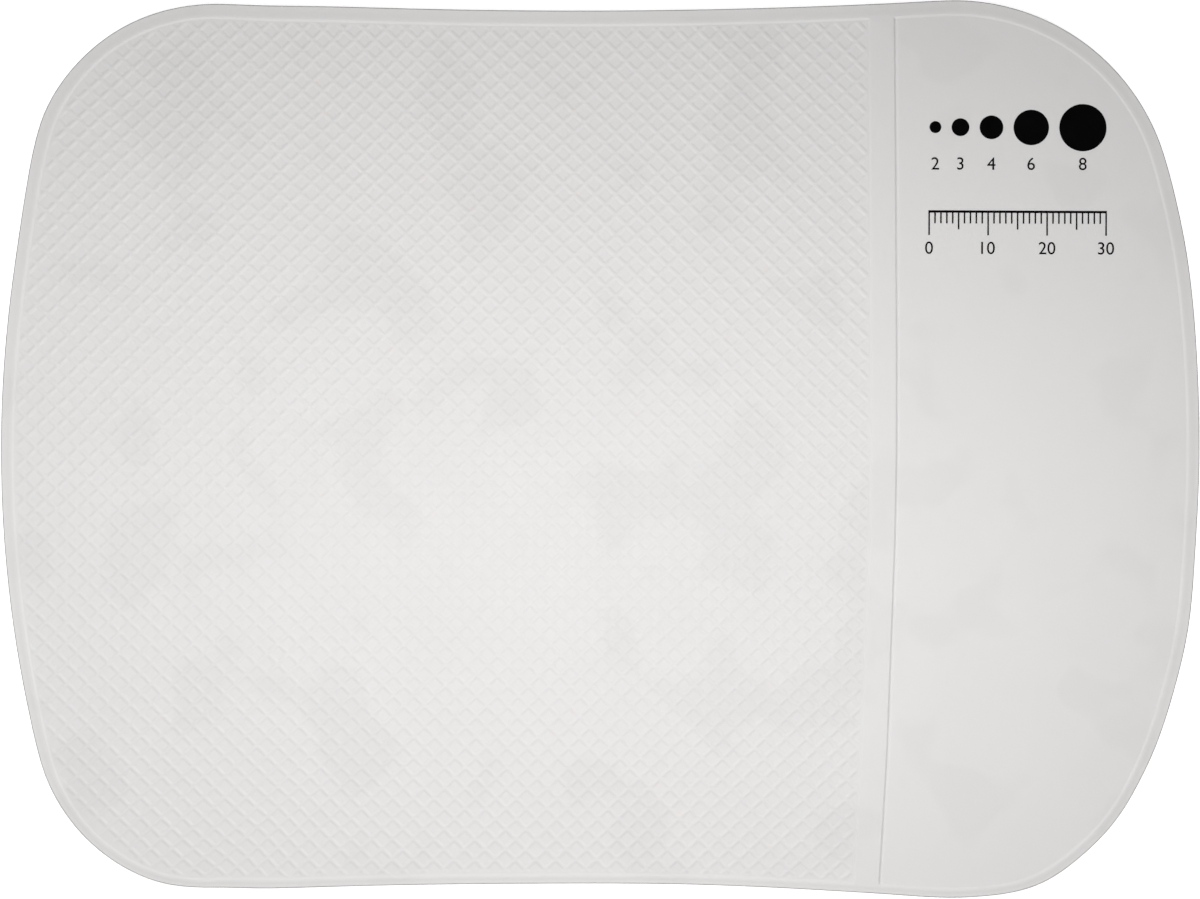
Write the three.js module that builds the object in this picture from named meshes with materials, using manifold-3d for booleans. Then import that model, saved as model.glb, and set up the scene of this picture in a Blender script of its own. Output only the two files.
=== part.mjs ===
// Tacky gel bead mat: one moulded sheet with a raised lip round a field for loose beads and round
// a smooth panel, and a bead gauge printed on the panel. Millimetres, +Z up. The origin is the
// middle of the underside, +X runs along the mat from the bead field towards the smooth panel.

import * as THREE from "three";
import { mergeVertices } from "three/addons/utils/BufferGeometryUtils.js";
import Module from "manifold-3d";

// Outline: four arcs meet in sharp corners, which fillets then round off
const MAT_LENGTH = 203.2; // from the tip of one bowed end to the tip of the other
const CORNER_WIDTH = 155.9; // between the two sharp corners at the panel's end
const FIELD_END_TAPER = 2.3; // how much narrower the bead field's end is
const FIELD_END_BOW = 14.4; // how far the field's end curves out beyond its corners
const PANEL_END_BOW = 16.2;
const SIDE_DRAW_IN = 3.3; // how far the long sides curve in between their corners
const FIELD_CORNER_RADIUS = 30.5;
const PANEL_CORNER_RADIUS = 36;

// Section through the rim, from the outside in
const SHEET_THICKNESS = 2; // at the lip, which is the highest line of the mat
const LIP_RISE = 0.1; // how far the lip stands above the outer edge
const EDGE_ROUNDING = 0.2;
const RIM_WIDTH = 1.65; // from the outline to the middle of the lip
const LIP_WIDTH = 0.3;
const POCKET_DEPTH = 0.12; // from the lip down to the bead field and the panel
const WALL_RUN = 0.5; // how far a pocket's wall slopes inwards on its way down
const TRAY_DROP = 0.45; // how much the lip and pockets lie towards the lower long side

// Divider between the bead field and the panel
const PANEL_LENGTH = 51.6; // from the divider to the tip of the panel's end
const STRIP_WIDTH = 3.8; // flat strip at lip height beside the divider
const DIVIDER_RUN = 0.25; // the divider's wall is steeper than the other walls
const GROOVE_WIDTH = 0.85; // from the top of the divider's wall
const GROOVE_DEPTH = 0.1; // below the panel

// Printed gauge on the panel
const INK_THICKNESS = 0.05;
const PRINT_SHIFT = 5.2; // from the middle of the panel's length back towards the divider
const PRINT_DROP = 19.4; // from the panel's sharp upper corner down to the top of the print
const DOT_DIAMETERS = [2, 3, 4, 6, 8]; // one for each common size of bead
const DOT_SPACING = 1.75; // clear space between one dot and the next
const RULER_DROP = 10.5; // from the foot of the largest dot down to the ruler's line
const RULER_PITCH = 1;
const RULER_COUNT = 30;
const RULER_LINE = 0.4;
const TICK_WIDTH = 0.25;
const TICK_LENGTH = 1.8;
const HALF_TICK_LENGTH = 2.8; // at every fifth division
const FULL_TICK_LENGTH = 3.8; // at every tenth division

// Facets
const END_STEPS = 14;
const SIDE_STEPS = 18;
const CORNER_STEPS = 14;
const ROUNDING_STEPS = 3;
const COVE_STEPS = 3;
const DOT_STEPS = 48;
const OVERCUT = 1; // how far a cutting solid runs past what it cuts

// Places that follow from the sizes above
const EDGE_HEIGHT = SHEET_THICKNESS - LIP_RISE;
const FLOOR_HEIGHT = SHEET_THICKNESS - POCKET_DEPTH;
const LIP_OUTSIDE = RIM_WIDTH - LIP_WIDTH / 2;
const LIP_INSIDE = RIM_WIDTH + LIP_WIDTH / 2;
const DIVIDER_X = MAT_LENGTH / 2 - PANEL_LENGTH;
const PRINT_MIDDLE = DIVIDER_X + PANEL_LENGTH / 2 - PRINT_SHIFT;
const PRINT_TOP = CORNER_WIDTH / 2 - PRINT_DROP;
const LARGEST_DOT = Math.max(...DOT_DIAMETERS);

const gel = { color: 0xe4e4e2, roughness: 0.55, metalness: 0 };
const ink = { color: 0x0b0b0c, roughness: 0.5, metalness: 0 };

const wasm = await Module();
wasm.setup();

/** Circle through two corners that follow each other anticlockwise. A positive bow curves it out. */
function sideCircle(from, to, bow) {
  const half = from.distanceTo(to) / 2;
  const radius = (half * half + bow * bow) / (2 * Math.abs(bow));
  const sense = Math.sign(bow);
  const outward = new THREE.Vector2(to.y - from.y, from.x - to.x).normalize();
  const middle = from.clone().lerp(to, 0.5);
  const centre = middle.addScaledVector(outward, bow - sense * radius);
  return { centre, radius, sense };
}

/** Centre of the fillet that touches two side circles close to the corner where they cross. */
function filletCentre(before, after, corner, radius) {
  const reachBefore = before.radius - before.sense * radius;
  const reachAfter = after.radius - after.sense * radius;
  const line = after.centre.clone().sub(before.centre);
  const span = line.length();
  const along = (reachBefore ** 2 - reachAfter ** 2 + span ** 2) / (2 * span);
  const across = Math.sqrt(reachBefore ** 2 - along ** 2);
  const foot = before.centre.clone().addScaledVector(line, along / span);
  const normal = new THREE.Vector2(-line.y, line.x).divideScalar(span);
  const choices = [across, -across].map((offset) => foot.clone().addScaledVector(normal, offset));
  choices.sort((a, b) => a.distanceTo(corner) - b.distanceTo(corner));
  return choices[0];
}

/** The arc of a circle from one angle to another, the way round that its sense gives. */
function arc({ centre, radius, sense }, start, end, steps) {
  const turn = 2 * Math.PI;
  const sweep = sense * THREE.MathUtils.euclideanModulo(sense * (end - start), turn);
  return { centre, radius, sense, start, sweep, steps };
}

/** The whole outline, anticlockwise, as a list of arcs: a side and then the fillet that ends it. */
function outlineArcs() {
  const fieldX = FIELD_END_BOW - MAT_LENGTH / 2;
  const panelX = MAT_LENGTH / 2 - PANEL_END_BOW;
  const panelY = CORNER_WIDTH / 2;
  const fieldY = (CORNER_WIDTH - FIELD_END_TAPER) / 2;
  const corners = [
    new THREE.Vector2(fieldX, -fieldY),
    new THREE.Vector2(panelX, -panelY),
    new THREE.Vector2(panelX, panelY),
    new THREE.Vector2(fieldX, fieldY),
  ];
  const radii = [FIELD_CORNER_RADIUS, PANEL_CORNER_RADIUS, PANEL_CORNER_RADIUS, FIELD_CORNER_RADIUS];
  const bows = [-SIDE_DRAW_IN, PANEL_END_BOW, -SIDE_DRAW_IN, FIELD_END_BOW];
  const steps = [SIDE_STEPS, END_STEPS, SIDE_STEPS, END_STEPS];
  const next = (i) => (i + 1) % corners.length;
  const previous = (i) => (i + corners.length - 1) % corners.length;

  const sides = corners.map((corner, i) => sideCircle(corner, corners[next(i)], bows[i]));
  const fillets = corners.map((corner, i) => ({
    centre: filletCentre(sides[previous(i)], sides[i], corner, radii[i]),
    radius: radii[i],
    sense: 1,
  }));
  // A side's touching point with a fillet lies on the line through their two centres
  const angleOnSide = (side, fillet) => fillet.centre.clone().sub(side.centre).angle();
  const angleOnFillet = (side, fillet) => angleOnSide(side, fillet) + (side.sense > 0 ? 0 : Math.PI);

  return sides.flatMap((side, i) => {
    const first = fillets[i];
    const last = fillets[next(i)];
    const following = sides[next(i)];
    return [
      arc(side, angleOnSide(side, first), angleOnSide(side, last), steps[i]),
      arc(last, angleOnFillet(side, last), angleOnFillet(following, last), CORNER_STEPS),
    ];
  });
}

const OUTLINE = outlineArcs();

/** Points of the outline moved inwards: each arc keeps its centre, so the inset stays even. */
function loopAt(inset, drop = 0) {
  return OUTLINE.flatMap(({ centre, radius, sense, start, sweep, steps }) => {
    const reach = radius - sense * inset;
    return Array.from({ length: steps }, (_, i) => {
      const angle = start + (sweep * i) / steps;
      const across = centre.y - drop;
      return new THREE.Vector2(centre.x + reach * Math.cos(angle), across + reach * Math.sin(angle));
    });
  });
}

/** Closed solid through sections of the outline, lowest first, with a flat cap at either end. */
function loft(sections) {
  const loops = sections.map(({ inset, drop }) => loopAt(inset, drop));
  const count = loops[0].length;
  const positions = loops.flatMap((loop, k) => loop.flatMap((p) => [p.x, p.y, sections[k].z]));
  const indices = [];
  for (let k = 0; k + 1 < loops.length; k += 1) {
    for (let i = 0; i < count; i += 1) {
      const low = k * count + i;
      const lowNext = k * count + ((i + 1) % count);
      indices.push(low, lowNext, lowNext + count, low, lowNext + count, low + count);
    }
  }
  const top = (loops.length - 1) * count;
  for (const [a, b, c] of THREE.ShapeUtils.triangulateShape(loops[0], [])) {
    indices.push(a, c, b);
  }
  for (const [a, b, c] of THREE.ShapeUtils.triangulateShape(loops.at(-1), [])) {
    indices.push(top + a, top + b, top + c);
  }
  const geometry = new THREE.BufferGeometry();
  geometry.setAttribute("position", new THREE.Float32BufferAttribute(positions, 3));
  geometry.setIndex(indices);
  return geometry;
}

/** Bar that runs along Y past both long sides, from its section in X and Z. */
function barAcross(section) {
  const shape = new THREE.Shape(section.map(([x, z]) => new THREE.Vector2(x, z)));
  const length = CORNER_WIDTH + 2 * OVERCUT;
  const geometry = new THREE.ExtrudeGeometry(shape, { depth: length, bevelEnabled: false });
  return geometry.rotateX(Math.PI / 2).translate(0, length / 2, 0);
}

function toSolid(geometry) {
  const bare = geometry.clone();
  bare.deleteAttribute("normal");
  bare.deleteAttribute("uv");
  const merged = mergeVertices(bare);
  const vertProperties = new Float32Array(merged.attributes.position.array);
  const triVerts = new Uint32Array(merged.index.array);
  return new wasm.Manifold(new wasm.Mesh({ numProp: 3, vertProperties, triVerts }));
}

function toGeometry(solid) {
  const { vertProperties, triVerts } = solid.getMesh();
  const geometry = new THREE.BufferGeometry();
  geometry.setAttribute("position", new THREE.BufferAttribute(new Float32Array(vertProperties), 3));
  geometry.setIndex(new THREE.BufferAttribute(new Uint32Array(triVerts), 1));
  geometry.computeVertexNormals();
  return geometry;
}

/** Sections of the sheet before its pockets are cut: a round edge, then a cove that rises to the lip. */
function blankSections() {
  const sections = [{ inset: 0, z: 0 }];
  for (let i = 0; i <= ROUNDING_STEPS; i += 1) {
    const angle = (Math.PI / 2) * (i / ROUNDING_STEPS);
    sections.push({
      inset: EDGE_ROUNDING * (1 - Math.cos(angle)),
      z: EDGE_HEIGHT - EDGE_ROUNDING * (1 - Math.sin(angle)),
    });
  }
  for (let i = 1; i <= COVE_STEPS; i += 1) {
    const share = i / COVE_STEPS;
    sections.push({
      inset: THREE.MathUtils.lerp(EDGE_ROUNDING, LIP_OUTSIDE, share),
      z: EDGE_HEIGHT + LIP_RISE * share ** 2,
      drop: TRAY_DROP * share,
    });
  }
  return sections;
}

/** What the mould leaves empty above the field and the panel, with the strip still standing. */
function pocketCutter() {
  const fieldSlope = WALL_RUN / POCKET_DEPTH;
  const dividerSlope = DIVIDER_RUN / POCKET_DEPTH;
  const footInset = LIP_INSIDE + WALL_RUN;
  const grooveFoot = FLOOR_HEIGHT - GROOVE_DEPTH;
  const above = SHEET_THICKNESS + OVERCUT;
  const below = grooveFoot - OVERCUT;
  const stripLeft = DIVIDER_X - STRIP_WIDTH;
  const stripMiddle = DIVIDER_X - STRIP_WIDTH / 2;

  const tray = loft([
    { inset: footInset, z: FLOOR_HEIGHT, drop: TRAY_DROP },
    { inset: LIP_INSIDE - fieldSlope * OVERCUT, z: above, drop: TRAY_DROP },
  ]);
  // The groove follows the divider's wall down, and ends at the foot of the long walls
  const groove = barAcross([
    [stripMiddle, grooveFoot],
    [DIVIDER_X + dividerSlope * (SHEET_THICKNESS - grooveFoot), grooveFoot],
    [DIVIDER_X + GROOVE_WIDTH, FLOOR_HEIGHT],
    [DIVIDER_X + GROOVE_WIDTH, above],
    [stripMiddle, above],
  ]);
  const betweenWalls = loft([
    { inset: footInset, z: below, drop: TRAY_DROP },
    { inset: footInset, z: above, drop: TRAY_DROP },
  ]);
  const strip = barAcross([
    [stripLeft - fieldSlope * (SHEET_THICKNESS - below), below],
    [DIVIDER_X + dividerSlope * (SHEET_THICKNESS - below), below],
    [DIVIDER_X, SHEET_THICKNESS],
    [DIVIDER_X, above + OVERCUT],
    [stripLeft, above + OVERCUT],
    [stripLeft, SHEET_THICKNESS],
  ]);
  const grooveBetweenWalls = toSolid(groove).intersect(toSolid(betweenWalls));
  return toSolid(tray).add(grooveBetweenWalls).subtract(toSolid(strip));
}

function gelSheetGeometry() {
  const blank = toSolid(loft(blankSections()));
  return toGeometry(blank.subtract(pocketCutter()));
}

/** Ruler as one comb: a line with a tick that hangs from it at each division. */
function rulerGeometry() {
  const halfTick = TICK_WIDTH / 2;
  const shape = new THREE.Shape();
  const right = RULER_COUNT * RULER_PITCH + halfTick;
  shape.moveTo(-halfTick, RULER_LINE);
  for (let i = 0; i <= RULER_COUNT; i += 1) {
    const x = i * RULER_PITCH;
    const plain = i % 5 === 0 ? HALF_TICK_LENGTH : TICK_LENGTH;
    const length = i % 10 === 0 ? FULL_TICK_LENGTH : plain;
    if (i > 0) {
      shape.lineTo(x - halfTick, 0);
    }
    shape.lineTo(x - halfTick, -length);
    shape.lineTo(x + halfTick, -length);
    if (i < RULER_COUNT) {
      shape.lineTo(x + halfTick, 0);
    }
  }
  shape.lineTo(right, RULER_LINE);
  return new THREE.ExtrudeGeometry(shape, { depth: INK_THICKNESS, bevelEnabled: false });
}

function namedMesh(name, geometry, look) {
  const mesh = new THREE.Mesh(geometry, new THREE.MeshStandardMaterial(look));
  mesh.name = name;
  return mesh;
}

/** Row of dots, each as wide as the bead that it stands for, from the smallest to the largest. */
function printedDots() {
  const dotsLength = DOT_DIAMETERS.reduce((sum, diameter) => sum + diameter, 0);
  const rowLength = dotsLength + DOT_SPACING * (DOT_DIAMETERS.length - 1);
  let left = PRINT_MIDDLE - rowLength / 2;
  return DOT_DIAMETERS.map((diameter, i) => {
    const disc = new THREE.CylinderGeometry(diameter / 2, diameter / 2, INK_THICKNESS, DOT_STEPS);
    disc.rotateX(Math.PI / 2).translate(0, 0, INK_THICKNESS / 2);
    const dot = namedMesh(`print_dot_${i + 1}`, disc, ink);
    dot.position.set(left + diameter / 2, PRINT_TOP - LARGEST_DOT / 2, FLOOR_HEIGHT);
    left += diameter + DOT_SPACING;
    return dot;
  });
}

function printedRuler() {
  const ruler = namedMesh("print_ruler", rulerGeometry(), ink);
  const height = PRINT_TOP - LARGEST_DOT - RULER_DROP;
  ruler.position.set(PRINT_MIDDLE - (RULER_COUNT * RULER_PITCH) / 2, height, FLOOR_HEIGHT);
  return ruler;
}

const beadMat = new THREE.Group();
beadMat.add(namedMesh("gel_sheet", gelSheetGeometry(), gel));
beadMat.add(...printedDots());
beadMat.add(printedRuler());

export default beadMat;
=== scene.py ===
import math

import bmesh
import bpy
import numpy as np
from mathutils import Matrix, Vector, geometry


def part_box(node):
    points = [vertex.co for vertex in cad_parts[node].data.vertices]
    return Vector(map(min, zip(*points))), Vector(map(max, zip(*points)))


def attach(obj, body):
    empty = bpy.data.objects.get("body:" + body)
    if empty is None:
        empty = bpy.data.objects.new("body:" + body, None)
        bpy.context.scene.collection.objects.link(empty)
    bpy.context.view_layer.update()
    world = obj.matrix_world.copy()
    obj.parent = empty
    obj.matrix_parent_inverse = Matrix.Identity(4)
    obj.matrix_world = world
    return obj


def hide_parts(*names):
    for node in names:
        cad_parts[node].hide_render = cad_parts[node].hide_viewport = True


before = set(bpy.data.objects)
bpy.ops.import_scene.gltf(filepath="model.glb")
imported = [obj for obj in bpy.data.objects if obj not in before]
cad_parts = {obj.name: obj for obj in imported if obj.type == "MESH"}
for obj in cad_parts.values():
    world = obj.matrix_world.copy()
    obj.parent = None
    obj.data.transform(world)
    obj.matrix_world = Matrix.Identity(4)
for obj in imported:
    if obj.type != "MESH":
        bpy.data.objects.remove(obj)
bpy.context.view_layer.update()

# Lengths are in metres and angles in radians, unless a comment says otherwise
MM = 0.001

# Section through the rim, from the outside in, as in the CAD part
SHEET_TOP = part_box("gel_sheet")[1].z
FLOOR_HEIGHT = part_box("print_ruler")[0].z
LIP_RISE = 0.1 * MM  # how far the lip stands above the outer edge
EDGE_ROUNDING = 0.2 * MM
RIM_WIDTH = 1.65 * MM  # from the outline to the middle of the lip
LIP_WIDTH = 0.3 * MM
WALL_RUN = 0.5 * MM  # how far a pocket's wall slopes inwards on its way down
TRAY_DROP = 0.45 * MM  # how much the lip and pockets lie towards the lower long side
FOOT_ROUNDING = 0.12 * MM  # of the lower edge, which is sharp in the CAD part

# Divider between the bead field and the panel, as in the CAD part
DIVIDER_X = 50.0 * MM
STRIP_WIDTH = 3.8 * MM  # flat strip at lip height beside the divider
DIVIDER_RUN = 0.25 * MM
GROOVE_WIDTH = 0.85 * MM
GROOVE_DEPTH = 0.1 * MM

# Grid of ridges that keeps the beads from rolling
DIAMOND_LENGTH = 3.57 * MM  # tip to tip along X
DIAMOND_WIDTH = 3.47 * MM
RIDGE_WIDTH = 1.25 * MM
RIDGE_HEIGHT = 0.1 * MM
GRID_MARGIN = 0.05 * MM  # flat border between the field's wall and the ends of the ridges
GRID_FADE = 0.3 * MM  # over which the ridges rise from that border

# How the soft sheet lies: it is drawn a little towards the field along the divider
LEAN_LOW = 2.7 * MM  # at the lower side
LEAN_HIGH = 0.7 * MM  # at the upper side
LEAN_POWER = 1.5
LEAN_REACH_FIELD = 100 * MM
LEAN_REACH_PANEL = 50 * MM

# Waves of its soft edge: direction on the plan and reach in degrees, and push outwards
EDGE_WAVES = (
    (20, 10, 0.6 * MM),
    (131, 6.5, -0.65 * MM),
    (151, 7, 0.75 * MM),
    (-131, 3, -0.75 * MM),
    (-75, 19, -0.35 * MM),
    (-45, 4.5, 1.2 * MM),
    (-31, 5, -0.8 * MM),
    (-17, 6, 0.6 * MM),
)
WAVE_POWER = 6  # how fast a wave dies out towards the middle

# How finely the sheet is meshed
OUTLINE_POINTS = 612
FOOT_STEPS = 3
ROUNDING_STEPS = 6
SHADED_EDGE_STEPS = 5  # of the upper rounding, which share the edge's painted shade
COVE_STEPS = 5
WALL_STEPS = 6
RIDGE_STEPS = 2  # on either side of a ridge's crest
LINE_SPACING = 1 * MM  # between points along the divider
GRID_CLEARANCE = 0.05 * MM  # between the grid's own faces and the foot of the field's wall
FAR_INSIDE = 12 * MM  # where the walls of the rim no longer matter
SLOPE_STEP = 0.005 * MM
CHUNK = 2000  # places that are measured at a time
PLACE_DECIMALS = 7  # of a metre, by which the CAD sheet's corners are told apart
DRAWING_TOLERANCE = 1e-6  # in millimetres

# Numbers printed beside the CAD part's dots and ruler
INK_THICKNESS = 0.05 * MM
DIGIT_HEIGHT = 2.1 * MM
NUMBER_GAP = 1.1 * MM
RULER_STEP = 10 * MM
JOINING_DISTANCE = 0.0001 * MM  # up to which seams of a number's mesh are joined

# Gel and its edge, which is darkened with painted shade: waves of their patches to the metre, and colours
# beside and in the patches
GEL_PATCHES = 60
GEL_CLEAR = (0.708, 0.70, 0.697)
GEL_PATCHED = (0.689, 0.681, 0.678)
EDGE_PATCHES = 300
# The edge's colours are darker than the gel's as painted shade on its rounding and side; the patches in
# them are tone that differs at random
SHADED_EDGE_CLEAR = (0.36, 0.355, 0.35)
SHADED_EDGE_PATCHED = (0.31, 0.305, 0.3)

# Camera: straight above, with the photo's frame
VIEW_WIDTH = 203.386 * MM
VIEW_X = -0.03 * MM
VIEW_Y = -0.33 * MM
VIEW_ROLL = 0.0041
CAMERA_HEIGHT = 0.8
SENSOR_WIDTH = 36  # in millimetres

# Light and table
LAMP_PLACE = (-14 * MM, -21.6 * MM, 0.216)
LAMP_TURN = -0.09
LAMP_LENGTH = 0.36
LAMP_WIDTH = 0.08
LAMP_WATTS = 0.622
LAMP_COLOUR = (1.0, 0.995, 0.988)
ROOM_COLOUR = (0.985, 0.99, 1.0)
ROOM_STRENGTH = 0.13
TABLE_GLOW = 0.8
TABLE_GAP = 0.1 * MM
TABLE_SIZE = 6

# Places that follow from the sizes above
EDGE_HEIGHT = SHEET_TOP - LIP_RISE
POCKET_DEPTH = SHEET_TOP - FLOOR_HEIGHT
LIP_OUTSIDE = RIM_WIDTH - LIP_WIDTH / 2
LIP_INSIDE = RIM_WIDTH + LIP_WIDTH / 2
STRIP_LEFT = DIVIDER_X - STRIP_WIDTH
GROOVE_FALL = DIVIDER_RUN * (POCKET_DEPTH + GROOVE_DEPTH) / POCKET_DEPTH
GROOVE_RISE = GROOVE_WIDTH - GROOVE_FALL
RIDGE_PITCH = 1 / math.hypot(1 / DIAMOND_LENGTH, 1 / DIAMOND_WIDTH)


def ease(share):
    """Smooth step from 0 to 1."""
    share = np.clip(share, 0, 1)
    return share * share * (3 - 2 * share)


def closed_curve(points, count):
    """Closed cubic spline through points, as evenly spaced places and the outward normals there."""
    size = len(points)
    following = np.roll(points, -1, axis=0)
    span = np.linalg.norm(following - points, axis=1)
    slope = (following - points) / span[:, None]
    system = np.diag(2 * (span + np.roll(span, 1)))
    for i in range(size):
        system[i, i - 1] += span[i - 1]
        system[i - 1, i] += span[i - 1]
    bend = np.linalg.solve(system, 6 * (slope - np.roll(slope, 1, axis=0)))

    ends = np.concatenate(([0], np.cumsum(span)))
    along = ends[-1] * np.arange(count) / count
    piece = np.searchsorted(ends, along, side="right") - 1
    after = (piece + 1) % size
    length = span[piece][:, None]
    near = (along - ends[piece])[:, None] / length
    far = 1 - near
    places = far * points[piece] + near * points[after]
    places += ((far**3 - far) * bend[piece] + (near**3 - near) * bend[after]) * length**2 / 6
    turning = (3 * near**2 - 1) * bend[after] - (3 * far**2 - 1) * bend[piece]
    tangent = slope[piece] + turning * length / 6
    tangent /= np.linalg.norm(tangent, axis=1)[:, None]
    return places, np.column_stack((tangent[:, 1], -tangent[:, 0]))


def sheet_outline():
    """The CAD sheet's outline at its foot as a smooth curve, anticlockwise."""
    corners = [vertex.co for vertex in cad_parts["gel_sheet"].data.vertices]
    foot = [corner.xy for corner in corners if corner.z < FOOT_ROUNDING]
    places = {(round(x, PLACE_DECIMALS), round(y, PLACE_DECIMALS)) for x, y in foot}
    points = sorted(places, key=lambda place: math.atan2(place[1], place[0]))
    return closed_curve(np.array(points), OUTLINE_POINTS)


OUTLINE, OUTWARD = sheet_outline()
GRID_MIDDLE = (OUTLINE[:, 0].min() + STRIP_LEFT) / 2


def loop_at(inset):
    """The outline moved in, point by point."""
    return OUTLINE - inset * OUTWARD


def way_to_outline(places):
    """The shortest way from each place to the outline, as a vector."""
    step = np.roll(OUTLINE, -1, axis=0) - OUTLINE
    step_squared = (step**2).sum(axis=1)
    ways = np.empty(places.shape)
    for start in range(0, len(places), CHUNK):
        back = places[start:start + CHUNK, None, :] - OUTLINE
        share = np.clip((back * step).sum(axis=2) / step_squared, 0, 1)
        back = back - share[..., None] * step
        nearest = (back**2).sum(axis=2).argmin(axis=1)
        ways[start:start + CHUNK] = -back[np.arange(len(back)), nearest]
    return ways


def outline_radius(angle):
    """How far the outline is from the middle of the sheet in a direction."""
    radius = np.hypot(OUTLINE[:, 0], OUTLINE[:, 1])
    return np.interp(angle, np.arctan2(OUTLINE[:, 1], OUTLINE[:, 0]), radius, period=2 * math.pi)


def inset_of(places):
    """Distance in from the outline and the direction that leads further in.

    The distance is below 0 outside and at most FAR_INSIDE, and the direction is 0 at both."""
    radius = outline_radius(np.arctan2(places[:, 1], places[:, 0]))
    room = radius - np.hypot(places[:, 0], places[:, 1])
    close = (room > 0) & (room < FAR_INSIDE)
    inset = np.clip(room, -FAR_INSIDE, FAR_INSIDE)
    inward = np.zeros(places.shape)
    ways = way_to_outline(places[close])
    inset[close] = np.linalg.norm(ways, axis=1)
    inward[close] = -ways / np.maximum(inset[close], SLOPE_STEP)[:, None]
    return inset, inward


def relief(x, inset):
    """Height inside the lip, apart from the ridges."""
    wall = ease((inset - LIP_INSIDE) / WALL_RUN)
    field = ease((STRIP_LEFT - x) / WALL_RUN)
    fall = ease((x - DIVIDER_X) / GROOVE_FALL)
    rise = ease((x - DIVIDER_X - GROOVE_FALL) / GROOVE_RISE)
    depth = POCKET_DEPTH * (field + fall) + GROOVE_DEPTH * (fall - rise)
    return SHEET_TOP - wall * depth


def relief_slope(x, inset, inward):
    """How the relief rises along X and Y."""
    along_x = (relief(x + SLOPE_STEP, inset) - relief(x - SLOPE_STEP, inset)) / (2 * SLOPE_STEP)
    along_inset = (relief(x, inset + SLOPE_STEP) - relief(x, inset - SLOPE_STEP)) / (2 * SLOPE_STEP)
    slope = inward * along_inset[:, None]
    slope[:, 0] += along_x
    return slope


def ridge(turns):
    """Height across parallel ridges that are one turn apart, from 0 to 1, and its rise in a turn."""
    half_width = RIDGE_WIDTH / 2 / RIDGE_PITCH
    away = np.clip((turns - np.round(turns)) / half_width, -1, 1)
    height = (1 + np.cos(math.pi * away)) / 2
    return height, -math.pi / 2 / half_width * np.sin(math.pi * away)


def field_room(x, inset):
    """Distance in from the foot of the bead field's walls."""
    return np.minimum(inset - LIP_INSIDE, STRIP_LEFT - x) - WALL_RUN


def ridge_turns(places):
    """How many ridges of each of the two crossing sets lie between the middle of the grid and a place."""
    along = (places[:, 0] - GRID_MIDDLE) / DIAMOND_LENGTH
    across = places[:, 1] / DIAMOND_WIDTH
    return along + across, along - across


def ridges(places, inset):
    """Height of the two crossing sets of ridges, and how it rises along X and Y."""
    turns_a, turns_b = ridge_turns(places)
    height_a, rise_a = ridge(turns_a)
    height_b, rise_b = ridge(turns_b)
    height = height_a + height_b - height_a * height_b
    rise_a = rise_a * (1 - height_b)
    rise_b = rise_b * (1 - height_a)
    slope = np.column_stack(((rise_a + rise_b) / DIAMOND_LENGTH, (rise_a - rise_b) / DIAMOND_WIDTH))
    crest = RIDGE_HEIGHT * ease((field_room(places[:, 0], inset) - GRID_MARGIN) / GRID_FADE)
    return crest * height, crest[:, None] * slope


def upright(slope):
    """Normals of a surface that rises by these slopes along X and Y."""
    normals = np.column_stack((-slope, np.ones(len(slope))))
    return normals / np.linalg.norm(normals, axis=1)[:, None]


def crossings(lines):
    """Where lines along the two sets of ridges cross, with the inset there and whether it is in the field.

    A line is given by its turns from the middle of the grid."""
    first, second = (side.ravel() for side in np.meshgrid(lines, lines, indexing="ij"))
    x = GRID_MIDDLE + DIAMOND_LENGTH * (first + second) / 2
    places = np.column_stack((x, DIAMOND_WIDTH * (first - second) / 2))
    inset, _ = inset_of(places)
    return places, inset, field_room(x, inset) > GRID_CLEARANCE


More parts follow.
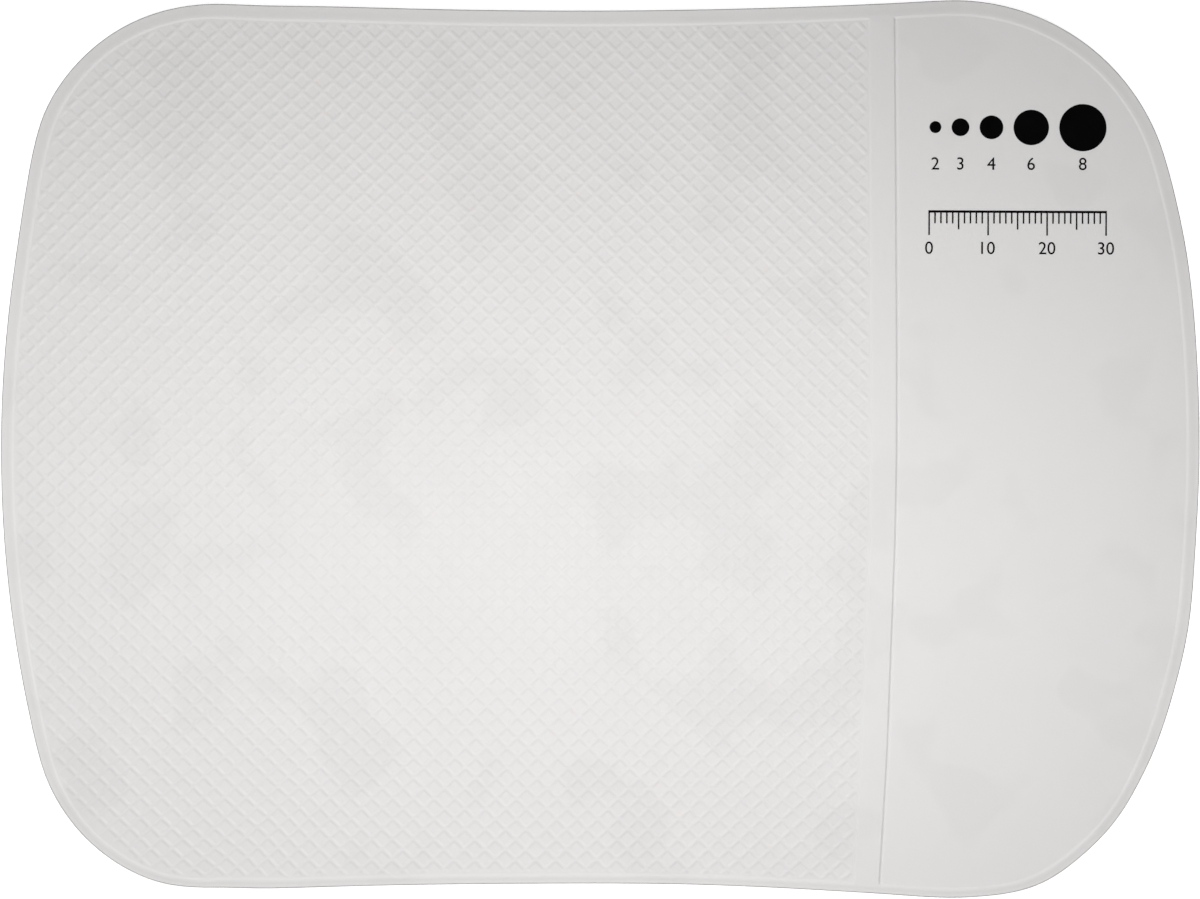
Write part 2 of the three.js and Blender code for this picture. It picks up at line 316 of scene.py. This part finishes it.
class DiamondGrid:
    """The bead field's floor as a net of four-sided faces that run along and across its ridges."""

    def __init__(self):
        half_length = GRID_MIDDLE - OUTLINE[:, 0].min()
        turns = math.ceil(half_length / DIAMOND_LENGTH + OUTLINE[:, 1].max() / DIAMOND_WIDTH)
        crests = np.arange(-turns, turns + 1)
        across_ridge = np.arange(-RIDGE_STEPS, RIDGE_STEPS + 1) / RIDGE_STEPS * RIDGE_WIDTH / 2
        self.lines = (crests[:, None] + across_ridge / RIDGE_PITCH).ravel()
        count = len(self.lines)
        places, inset, inside = crossings(self.lines)

        inside = inside.reshape(count, count)
        self.kept = inside[:-1, :-1] & inside[1:, :-1] & inside[1:, 1:] & inside[:-1, 1:]
        used = np.zeros(inside.shape, bool)
        for row, column in ((0, 0), (1, 0), (1, 1), (0, 1)):
            used[row:count - 1 + row, column:count - 1 + column] |= self.kept
        index = np.full(inside.shape, -1)
        index[used] = np.arange(used.sum())
        # A step along the second axis leads right of a step along the first, so this order faces up
        corners = (index[:-1, :-1], index[:-1, 1:], index[1:, 1:], index[1:, :-1])
        self.faces = np.column_stack([corner[self.kept] for corner in corners])

        used = used.ravel()
        height, slope = ridges(places[used], inset[used])
        self.vertices = np.column_stack((places[used], FLOOR_HEIGHT + height))
        self.normals = upright(slope)

        # Beside the walls, where whole faces don't fit, there are also points half way between ridges
        finer_lines = np.sort(np.append(self.lines, crests + 0.5))
        places, _, inside = crossings(finer_lines)
        self.spare_places = places[inside & ~self.touches(finer_lines)]

    def touches(self, lines):
        """Which crossings of lines lie on the net's faces or on their edges."""
        last = len(self.lines) - 2
        before = np.clip(np.searchsorted(self.lines, lines, side="left") - 1, 0, last)
        after = np.clip(np.searchsorted(self.lines, lines, side="right") - 1, 0, last)
        touched = np.zeros((len(lines), len(lines)), bool)
        for rows in (before, after):
            for columns in (before, after):
                touched |= self.kept[np.ix_(rows, columns)]
        return touched.ravel()

    def border(self):
        """Vertices on edges that only one face uses, and those edges as pairs of places in that list."""
        edges = np.concatenate([self.faces[:, [i, (i + 1) % 4]] for i in range(4)])
        edges.sort(axis=1)
        pairs, uses = np.unique(edges, axis=0, return_counts=True)
        single = pairs[uses == 1]
        points, places_in_list = np.unique(single, return_inverse=True)
        return points, places_in_list.reshape(single.shape)

    def covers(self, places):
        """Which places lie on the net's faces."""
        row, column = (np.searchsorted(self.lines, turns) - 1 for turns in ridge_turns(places))
        last = len(self.lines) - 2
        known = (row >= 0) & (row <= last) & (column >= 0) & (column <= last)
        return known & self.kept[np.clip(row, 0, last), np.clip(column, 0, last)]


def rim_sections():
    """Inset, height and drop of each loop from the edge of the underside up to the lip."""
    sections = []
    for angle in np.linspace(0, math.pi / 2, FOOT_STEPS + 1):
        inset = FOOT_ROUNDING * (1 - math.sin(angle))
        sections.append((inset, FOOT_ROUNDING * (1 - math.cos(angle)), 0))
    for angle in np.linspace(0, math.pi / 2, ROUNDING_STEPS + 1):
        height = EDGE_HEIGHT - EDGE_ROUNDING * (1 - math.sin(angle))
        sections.append((EDGE_ROUNDING * (1 - math.cos(angle)), height, 0))
    for share in np.arange(1, COVE_STEPS + 1) / COVE_STEPS:
        inset = EDGE_ROUNDING + (LIP_OUTSIDE - EDGE_ROUNDING) * share
        sections.append((inset, EDGE_HEIGHT + LIP_RISE * share**2, TRAY_DROP * share))
    return sections


def rim_faces(loop_count):
    """Four-sided faces between loops of the outline that follow each other."""
    point = np.arange(OUTLINE_POINTS)
    following = np.roll(point, -1)
    band = np.column_stack((point, following, following + OUTLINE_POINTS, point + OUTLINE_POINTS))
    return np.concatenate([band + i * OUTLINE_POINTS for i in range(loop_count - 1)])


def lines_along_divider():
    """Lines that follow the strip's two slopes and the groove, from one long side to the other."""
    # They end half way between two loops of the lip, clear of the points on both
    limits = loop_at((RIM_WIDTH + LIP_INSIDE) / 2)
    upper = limits[limits[:, 1] > 0]
    upper = upper[np.argsort(upper[:, 0])]
    share = np.arange(WALL_STEPS + 1) / WALL_STEPS
    strip_wall = STRIP_LEFT - WALL_RUN * share
    groove_fall = DIVIDER_X + GROOVE_FALL * share
    groove_rise = DIVIDER_X + GROOVE_FALL + GROOVE_RISE * share[1:]
    for x in (*strip_wall, *groove_fall, *groove_rise):
        top = np.interp(x, upper[:, 0], upper[:, 1])
        y = np.linspace(-top, top, round(2 * top / LINE_SPACING))
        yield np.column_stack((np.full(len(y), x), y))


class Drawing:
    """Points and lines on the plan, from which the smooth parts of the upper face are meshed."""

    def __init__(self):
        self.points = np.empty((0, 2))
        self.edges = []

    def add(self, points, edges=()):
        """Adds points and lines between them, and returns the number of the first point."""
        start = len(self.points)
        self.points = np.concatenate((self.points, points))
        self.edges.extend((np.asarray(edges) + start).tolist())
        return start

    def add_loop(self, points):
        numbers = np.arange(len(points))
        return self.add(points, np.column_stack((numbers, np.roll(numbers, -1))))

    def add_line(self, points):
        numbers = np.arange(len(points))
        return self.add(points, np.column_stack((numbers[:-1], numbers[1:])))

    def triangles(self):
        """Places and triangles, and for each place the drawn points that it stands for."""
        flat = [Vector(point) for point in self.points / MM]
        inside_only = 1
        meshed = geometry.delaunay_2d_cdt(flat, self.edges, [], inside_only, DRAWING_TOLERANCE)
        places, _, faces, sources, _, _ = meshed
        return np.array(places) * MM, np.array(faces), sources


def as_it_lies(vertices):
    """The sheet's plan with the lean and the waves of its edge that it has on the table."""
    x, y = vertices[:, 0], vertices[:, 1]
    half_width = OUTLINE[:, 1].max()
    lean = np.where(y < 0, LEAN_LOW, LEAN_HIGH) * np.abs(y / half_width) ** LEAN_POWER
    away = (x - DIVIDER_X) / np.where(x < DIVIDER_X, LEAN_REACH_FIELD, LEAN_REACH_PANEL)
    x = x - lean * np.cos(math.pi / 2 * np.clip(away, -1, 1)) ** 2

    angle = np.arctan2(y, x)
    push = np.zeros(len(x))
    for direction, reach, height in EDGE_WAVES:
        turn = (np.degrees(angle) - direction + 180) % 360 - 180
        push += height * np.exp(-((turn / reach) ** 2))
    push *= np.minimum(np.hypot(x, y) / outline_radius(angle), 1) ** WAVE_POWER
    return np.column_stack((x + push * np.cos(angle), y + push * np.sin(angle), vertices[:, 2]))


def sheet_mesh():
    """The whole sheet as one closed mesh: underside, rim, diamond grid and smooth parts."""
    sections = rim_sections()
    count = OUTLINE_POINTS
    loops = [np.column_stack((loop_at(inset), np.full(count, height))) for inset, height, _ in sections]
    lip = loops[-1]
    underside = list(range(count - 1, -1, -1))
    faces = [underside, *rim_faces(len(loops)).tolist()]

    grid = DiamondGrid()
    grid_start = count * len(loops)
    lip_start = grid_start - count
    vertices = np.concatenate((*loops, grid.vertices))
    faces += (grid.faces + grid_start).tolist()

    drawing = Drawing()
    drawing.add_loop(lip[:, :2])
    drawing.add_loop(loop_at(RIM_WIDTH))
    for step in range(WALL_STEPS + 1):
        drawing.add_loop(loop_at(LIP_INSIDE + WALL_RUN * step / WALL_STEPS))
    for line in lines_along_divider():
        drawing.add_line(line)
    drawing.add(grid.spare_places)
    border_points, border_edges = grid.border()
    border_start = drawing.add(grid.vertices[border_points, :2], border_edges)
    places, triangles, sources = drawing.triangles()

    # Points that the drawing shares with the lip or the grid are vertices already
    numbers = np.full(len(places), -1)
    for i, drawn in enumerate(sources):
        for point in drawn:
            if point < count:
                numbers[i] = lip_start + point
            elif point >= border_start:
                numbers[i] = grid_start + border_points[point - border_start]
    new = numbers < 0
    numbers[new] = len(vertices) + np.arange(new.sum())
    smooth_parts = triangles[~grid.covers(places[triangles].mean(axis=1))]
    faces += numbers[smooth_parts].tolist()

    inset, inward = inset_of(places)
    ridge_height, ridge_slope = ridges(places, inset)
    heights = relief(places[:, 0], inset) + ridge_height
    slopes = relief_slope(places[:, 0], inset, inward) + ridge_slope
    vertices = np.concatenate((vertices, np.column_stack((places, heights))[new]))
    automatic = np.zeros((grid_start, 3))
    normals = np.concatenate((automatic, grid.normals, upright(slopes)[new]))

    drop = np.full(len(vertices), TRAY_DROP)
    drop[:grid_start] = np.repeat([section[-1] for section in sections], count)
    vertices[:, 1] -= drop

    # The foot, the upright wall and most of the upper rounding have the edge's material, darkened as
    # painted shade
    shaded_edge_bands = FOOT_STEPS + 1 + SHADED_EDGE_STEPS
    materials = np.zeros(len(faces), np.int32)
    materials[1:1 + count * shaded_edge_bands] = 1
    mesh = bpy.data.meshes.new("gel_mat")
    mesh.from_pydata(as_it_lies(vertices).tolist(), [], faces)
    mesh.polygons.foreach_set("use_smooth", np.ones(len(faces), bool))
    mesh.polygons.foreach_set("material_index", materials)
    mesh.normals_split_custom_set_from_vertices(normals.tolist())
    return mesh


def grey(tone):
    return (tone, tone, tone)


def new_material(name):
    """A node material, the functions that add and link its nodes, and its main shader."""
    material = bpy.data.materials.new(name)
    material.use_nodes = True
    tree = material.node_tree
    shader = tree.nodes["Principled BSDF"]
    return material, tree.nodes.new, tree.links.new, shader


def noise(new_node, link, scale, detail, roughness):
    """Noise over the piece's own coordinates, with the scale in waves to the metre."""
    coordinates = new_node("ShaderNodeTexCoord")
    texture = new_node("ShaderNodeTexNoise")
    texture.inputs["Scale"].default_value = scale
    texture.inputs["Detail"].default_value = detail
    texture.inputs["Roughness"].default_value = roughness
    link(coordinates.outputs["Object"], texture.inputs["Vector"])
    return texture.outputs["Fac"]


def ramp(new_node, link, source, low, high, low_colour, high_colour):
    """Colours between two values of a source."""
    node = new_node("ShaderNodeValToRGB")
    first, last = node.color_ramp.elements
    first.position = low
    first.color = (*low_colour, 1)
    last.position = high
    last.color = (*high_colour, 1)
    link(source, node.inputs["Fac"])
    return node.outputs["Color"]


def bump(new_node, link, source, shader, distance, strength):
    """Fine unevenness of a material's surface."""
    node = new_node("ShaderNodeBump")
    node.inputs["Distance"].default_value = distance
    node.inputs["Strength"].default_value = strength
    link(source, node.inputs["Height"])
    link(node.outputs["Normal"], shader.inputs["Normal"])


def gel_material(name, patches_to_metre, clear, patched):
    """Milky tacky gel: satin and a little translucent, with faint patches."""
    material, new_node, link, shader = new_material(name)
    patches = noise(new_node, link, scale=patches_to_metre, detail=2, roughness=0.45)
    colour = ramp(new_node, link, patches, low=0.54, high=0.6, low_colour=clear, high_colour=patched)
    link(colour, shader.inputs["Base Color"])
    handling = noise(new_node, link, scale=90, detail=4, roughness=0.6)
    satin = ramp(new_node, link, handling, low=0.3, high=0.7, low_colour=grey(0.48), high_colour=grey(0.56))
    link(satin, shader.inputs["Roughness"])
    shader.inputs["IOR"].default_value = 1.43
    shader.inputs["Specular IOR Level"].default_value = 0.33
    shader.inputs["Subsurface Weight"].default_value = 0.2
    shader.inputs["Subsurface Radius"].default_value = (1.0, 0.95, 0.9)
    shader.inputs["Subsurface Scale"].default_value = 0.8 * MM
    tack = noise(new_node, link, scale=2200, detail=3, roughness=0.6)
    bump(new_node, link, tack, shader, distance=0.02 * MM, strength=0.6)
    return material


def ink_material():
    """Flat black screen ink, a little uneven in cover and gloss."""
    material, new_node, link, shader = new_material("ink")
    cover = noise(new_node, link, scale=900, detail=4, roughness=0.6)
    black = ramp(new_node, link, cover, low=0.35, high=0.75,
                 low_colour=grey(0.0004), high_colour=grey(0.001))
    link(black, shader.inputs["Base Color"])
    gloss = noise(new_node, link, scale=400, detail=3, roughness=0.5)
    matte = ramp(new_node, link, gloss, low=0.3, high=0.7, low_colour=grey(0.6), high_colour=grey(0.75))
    link(matte, shader.inputs["Roughness"])
    shader.inputs["Specular IOR Level"].default_value = 0.03
    grain = noise(new_node, link, scale=3000, detail=2, roughness=0.5)
    bump(new_node, link, grain, shader, distance=0.01 * MM, strength=0.3)
    return material


def table_material():
    """Bright matte table top with a trace of grain."""
    material, new_node, link, shader = new_material("table")
    grain = noise(new_node, link, scale=40, detail=4, roughness=0.6)
    white = ramp(new_node, link, grain, low=0.3, high=0.7, low_colour=grey(0.93), high_colour=grey(0.95))
    link(white, shader.inputs["Base Color"])
    shader.inputs["Roughness"].default_value = 0.8
    shader.inputs["Emission Color"].default_value = (*grey(1), 1)
    shader.inputs["Emission Strength"].default_value = TABLE_GLOW
    return material


def add_object(name, data):
    item = bpy.data.objects.new(name, data)
    bpy.context.scene.collection.objects.link(item)
    return item


def gel_mat():
    mat = add_object("gel_mat", sheet_mesh())
    mat.data.materials.append(gel_material("gel", GEL_PATCHES, GEL_CLEAR, GEL_PATCHED))
    # The second material paints shade on the sheet's edge with a darker colour
    mat.data.materials.append(gel_material("gel_edge_painted_shade", EDGE_PATCHES, SHADED_EDGE_CLEAR, SHADED_EDGE_PATCHED))
    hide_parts("gel_sheet")
    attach(mat, "root")


def printed_number(name, text, middle, top, ink):
    """A number in thin ink on the panel, given its middle along X and its top along Y."""
    curve = bpy.data.curves.new(name, "FONT")
    curve.body = text
    curve.extrude = INK_THICKNESS / 2
    writing = bpy.data.objects.new(name, curve)
    mesh = bpy.data.meshes.new_from_object(writing)
    bpy.data.objects.remove(writing)
    bpy.data.curves.remove(curve)

    low = Vector(min(v.co[axis] for v in mesh.vertices) for axis in range(3))
    high = Vector(max(v.co[axis] for v in mesh.vertices) for axis in range(3))
    size = DIGIT_HEIGHT / (high.y - low.y)
    for vertex in mesh.vertices:
        x, y, z = vertex.co
        vertex.co.x = middle + size * (x - (low.x + high.x) / 2)
        vertex.co.y = top + size * (y - high.y)
        vertex.co.z = FLOOR_HEIGHT + z - low.z
    shape = bmesh.new()
    shape.from_mesh(mesh)
    bmesh.ops.remove_doubles(shape, verts=shape.verts, dist=JOINING_DISTANCE)
    shape.to_mesh(mesh)
    shape.free()
    mesh.materials.append(ink)
    number = add_object(name, mesh)
    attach(number, "root")


def printed_gauge():
    """Ink on the CAD part's dots and ruler, and the numbers that go with them."""
    ink = ink_material()
    dots = sorted(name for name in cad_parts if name.startswith("print_dot"))
    for name in [*dots, "print_ruler"]:
        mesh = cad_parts[name].data
        mesh.materials.clear()
        mesh.materials.append(ink)

    boxes = [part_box(name) for name in dots]
    sizes_top = min(low.y for low, high in boxes) - NUMBER_GAP
    for low, high in boxes:
        text = str(round((high.x - low.x) / MM))
        printed_number(f"print_size_{text}", text, (low.x + high.x) / 2, sizes_top, ink)

    low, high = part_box("print_ruler")
    steps = round((high.x - low.x) / RULER_STEP)
    first_tick = (low.x + high.x - steps * RULER_STEP) / 2
    for i in range(steps + 1):
        text = str(round(i * RULER_STEP / MM))
        printed_number(f"print_mark_{text}", text, first_tick + i * RULER_STEP, low.y - NUMBER_GAP, ink)


def table():
    mesh = bpy.data.meshes.new("table")
    half = TABLE_SIZE / 2
    corners = [(-half, -half), (half, -half), (half, half), (-half, half)]
    mesh.from_pydata([(x, y, -TABLE_GAP) for x, y in corners], [], [(0, 1, 2, 3)])
    mesh.materials.append(table_material())
    add_object("table", mesh)


def lights():
    """One soft lamp nearly overhead, and an even dim room."""
    lamp = bpy.data.lights.new("lamp", "AREA")
    lamp.shape = "ELLIPSE"
    lamp.size = LAMP_LENGTH
    lamp.size_y = LAMP_WIDTH
    lamp.energy = LAMP_WATTS
    lamp.color = LAMP_COLOUR
    holder = add_object("lamp", lamp)
    holder.location = LAMP_PLACE
    holder.rotation_euler.z = LAMP_TURN
    holder.visible_camera = False
    world = bpy.data.worlds.new("room")
    world.use_nodes = True
    background = world.node_tree.nodes["Background"]
    background.inputs["Color"].default_value = (*ROOM_COLOUR, 1)
    background.inputs["Strength"].default_value = ROOM_STRENGTH
    bpy.context.scene.world = world


def camera():
    data = bpy.data.cameras.new("camera")
    data.sensor_width = SENSOR_WIDTH
    data.lens = SENSOR_WIDTH * (CAMERA_HEIGHT - SHEET_TOP) / VIEW_WIDTH
    holder = add_object("camera", data)
    holder.location = (VIEW_X, VIEW_Y, CAMERA_HEIGHT)
    holder.rotation_euler = (0, 0, VIEW_ROLL)
    bpy.context.scene.camera = holder
    bpy.context.scene.view_settings.view_transform = "Standard"


gel_mat()
printed_gauge()
table()
lights()
camera()
